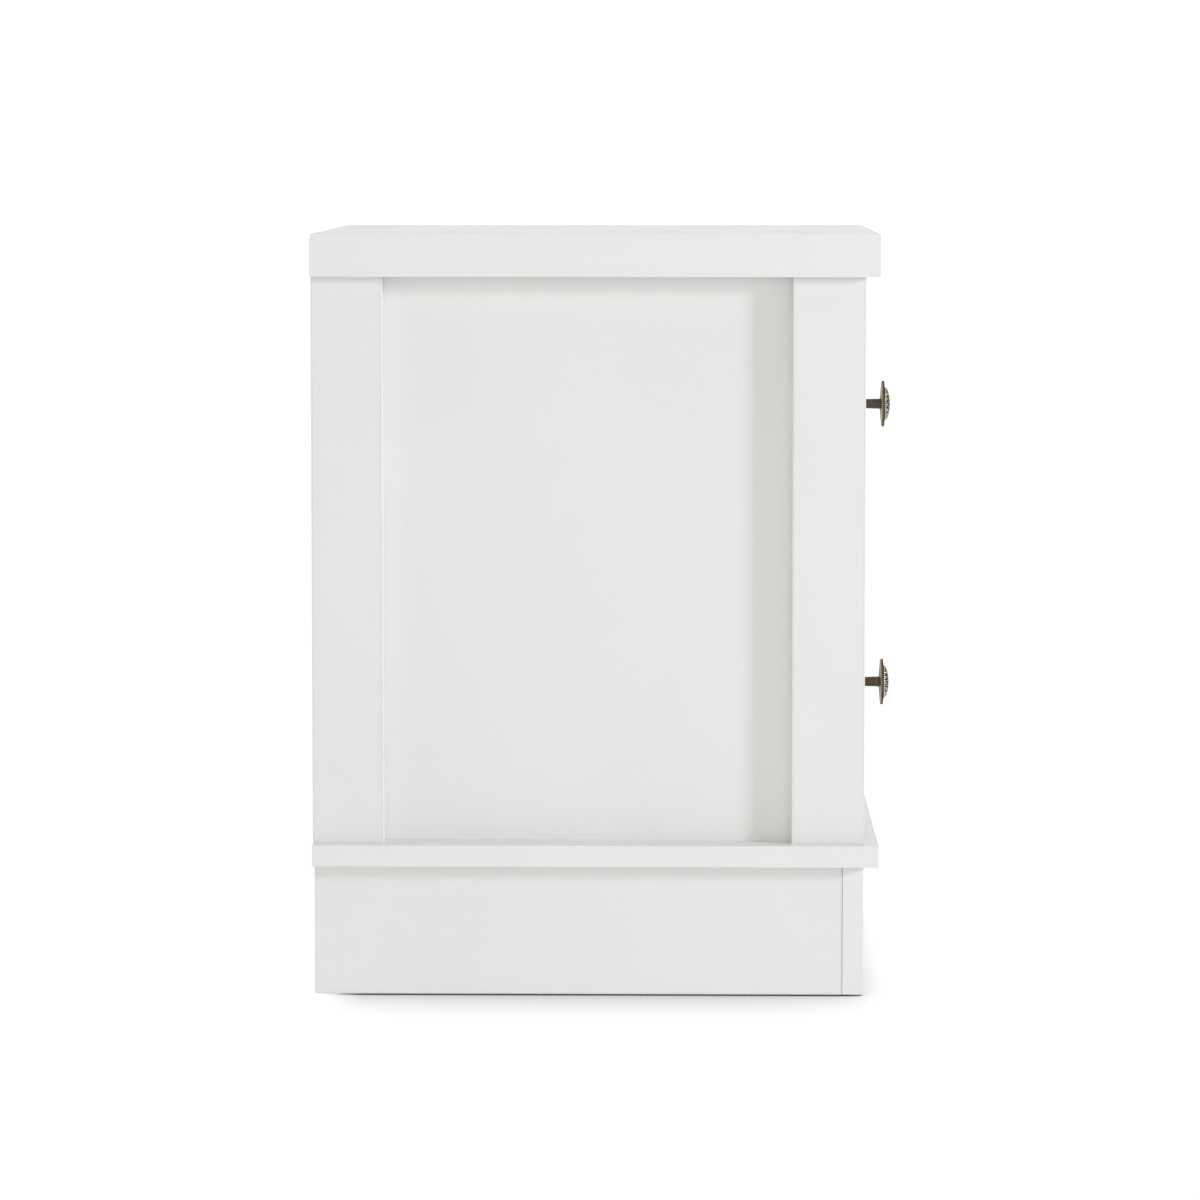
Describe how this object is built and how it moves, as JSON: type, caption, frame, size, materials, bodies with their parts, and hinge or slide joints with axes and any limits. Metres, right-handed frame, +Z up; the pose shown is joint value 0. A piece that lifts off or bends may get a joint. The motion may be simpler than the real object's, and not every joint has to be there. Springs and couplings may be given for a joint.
{
  "type": "nightstand with drawers",
  "caption": "White laminated bedside cabinet on a plinth, with drawers on roller runners and round embossed antique-brass knobs.",
  "frame": {"origin": "on the floor under the middle of the whole cabinet's bounding box, knobs included", "axes": "+Z up; the drawers face -Y; +X is to the right for someone facing the drawers"},
  "size_m": [0.42, 0.4144, 0.54],
  "materials": {
    "white_laminate": "satin white melamine laminate on chipboard, edges banded",
    "hardboard": "thin hardboard, white on its good face",
    "beech": "sawn and unfinished",
    "runner_enamel": "white enamelled sheet steel",
    "zinc_plate": "bright zinc plate",
    "nylon": "moulded nylon",
    "antique_brass": "antique brass, darkened in its hollows and rubbed bright on its relief"
  },
  "bodies": {
    "cabinet": {"back_panel": "hardboard", "base_panel": "white_laminate", "cam_lock_left_front": "zinc_plate", "cam_lock_left_rear": "zinc_plate", "cam_lock_right_front": "zinc_plate", "cam_lock_right_rear": "zinc_plate", "confirmat_left_front": "zinc_plate", "confirmat_left_rear": "zinc_plate", "confirmat_right_front": "zinc_plate", "confirmat_right_rear": "zinc_plate", "corner_block_left_front": "beech", "corner_block_left_rear": "beech", "corner_block_right_front": "beech", "corner_block_right_rear": "beech", "floor_glide_left_front": "nylon", "floor_glide_left_rear": "nylon", "floor_glide_right_front": "nylon", "floor_glide_right_rear": "nylon", "left_front_stile": "white_laminate", "left_rear_stile": "white_laminate", "left_side_panel": "white_laminate", "lower_left_cabinet_runner": "runner_enamel", "lower_right_cabinet_runner": "runner_enamel", "middle_rail": "white_laminate", "plinth_front": "white_laminate", "plinth_left": "white_laminate", "plinth_rear": "white_laminate", "plinth_right": "white_laminate", "right_front_stile": "white_laminate", "right_rear_stile": "white_laminate", "right_side_panel": "white_laminate", "top_panel": "white_laminate", "upper_left_cabinet_runner": "runner_enamel", "upper_right_cabinet_runner": "runner_enamel"},
    "lower_drawer": {"lower_drawer_back": "white_laminate", "lower_drawer_bottom": "hardboard", "lower_drawer_front": "white_laminate", "lower_drawer_left_side": "white_laminate", "lower_drawer_right_side": "white_laminate", "lower_knob": "antique_brass", "lower_knob_screw": "zinc_plate", "lower_left_drawer_runner": "runner_enamel", "lower_right_drawer_runner": "runner_enamel"},
    "lower_left_cabinet_roller": {"lower_left_cabinet_roller": "nylon"},
    "lower_left_drawer_roller": {"lower_left_drawer_roller": "nylon"},
    "lower_right_cabinet_roller": {"lower_right_cabinet_roller": "nylon"},
    "lower_right_drawer_roller": {"lower_right_drawer_roller": "nylon"},
    "upper_drawer": {"upper_drawer_back": "white_laminate", "upper_drawer_bottom": "hardboard", "upper_drawer_front": "white_laminate", "upper_drawer_left_side": "white_laminate", "upper_drawer_right_side": "white_laminate", "upper_knob": "antique_brass", "upper_knob_screw": "zinc_plate", "upper_left_drawer_runner": "runner_enamel", "upper_right_drawer_runner": "runner_enamel"},
    "upper_left_cabinet_roller": {"upper_left_cabinet_roller": "nylon"},
    "upper_left_drawer_roller": {"upper_left_drawer_roller": "nylon"},
    "upper_right_cabinet_roller": {"upper_right_cabinet_roller": "nylon"},
    "upper_right_drawer_roller": {"upper_right_drawer_roller": "nylon"}
  },
  "joints": [
    {"name": "lower_drawer_slide", "type": "slide", "parent": "cabinet", "child": "lower_drawer", "axis": [0, -1, 0], "range_m": [0, 0.26]},
    {"name": "lower_left_cabinet_roller_spin", "type": "hinge", "parent": "cabinet", "child": "lower_left_cabinet_roller", "pos_m": [-0.1647, -0.15375, 0.125], "axis": [1, 0, 0], "continuous": true},
    {"name": "lower_left_drawer_roller_spin", "type": "hinge", "parent": "lower_drawer", "child": "lower_left_drawer_roller", "pos_m": [-0.1628, 0.17055, 0.125], "axis": [1, 0, 0], "continuous": true},
    {"name": "lower_right_cabinet_roller_spin", "type": "hinge", "parent": "cabinet", "child": "lower_right_cabinet_roller", "pos_m": [0.1647, -0.15375, 0.125], "axis": [1, 0, 0], "continuous": true},
    {"name": "lower_right_drawer_roller_spin", "type": "hinge", "parent": "lower_drawer", "child": "lower_right_drawer_roller", "pos_m": [0.1628, 0.17055, 0.125], "axis": [1, 0, 0], "continuous": true},
    {"name": "upper_drawer_slide", "type": "slide", "parent": "cabinet", "child": "upper_drawer", "axis": [0, -1, 0], "range_m": [0, 0.26]},
    {"name": "upper_left_cabinet_roller_spin", "type": "hinge", "parent": "cabinet", "child": "upper_left_cabinet_roller", "pos_m": [-0.1647, -0.15375, 0.3315], "axis": [1, 0, 0], "continuous": true},
    {"name": "upper_left_drawer_roller_spin", "type": "hinge", "parent": "upper_drawer", "child": "upper_left_drawer_roller", "pos_m": [-0.1628, 0.17055, 0.3315], "axis": [1, 0, 0], "continuous": true},
    {"name": "upper_right_cabinet_roller_spin", "type": "hinge", "parent": "cabinet", "child": "upper_right_cabinet_roller", "pos_m": [0.1647, -0.15375, 0.3315], "axis": [1, 0, 0], "continuous": true},
    {"name": "upper_right_drawer_roller_spin", "type": "hinge", "parent": "upper_drawer", "child": "upper_right_drawer_roller", "pos_m": [0.1628, 0.17055, 0.3315], "axis": [1, 0, 0], "continuous": true}
  ],
  "couplings": [
    {"joint": "lower_left_cabinet_roller_spin", "follows": "lower_drawer_slide", "rad_per_m": 117.65},
    {"joint": "lower_left_drawer_roller_spin", "follows": "lower_drawer_slide", "rad_per_m": 117.65},
    {"joint": "lower_right_cabinet_roller_spin", "follows": "lower_drawer_slide", "rad_per_m": 117.65},
    {"joint": "lower_right_drawer_roller_spin", "follows": "lower_drawer_slide", "rad_per_m": 117.65},
    {"joint": "upper_left_cabinet_roller_spin", "follows": "upper_drawer_slide", "rad_per_m": 117.65},
    {"joint": "upper_left_drawer_roller_spin", "follows": "upper_drawer_slide", "rad_per_m": 117.65},
    {"joint": "upper_right_cabinet_roller_spin", "follows": "upper_drawer_slide", "rad_per_m": 117.65},
    {"joint": "upper_right_drawer_roller_spin", "follows": "upper_drawer_slide", "rad_per_m": 117.65}
  ]
}
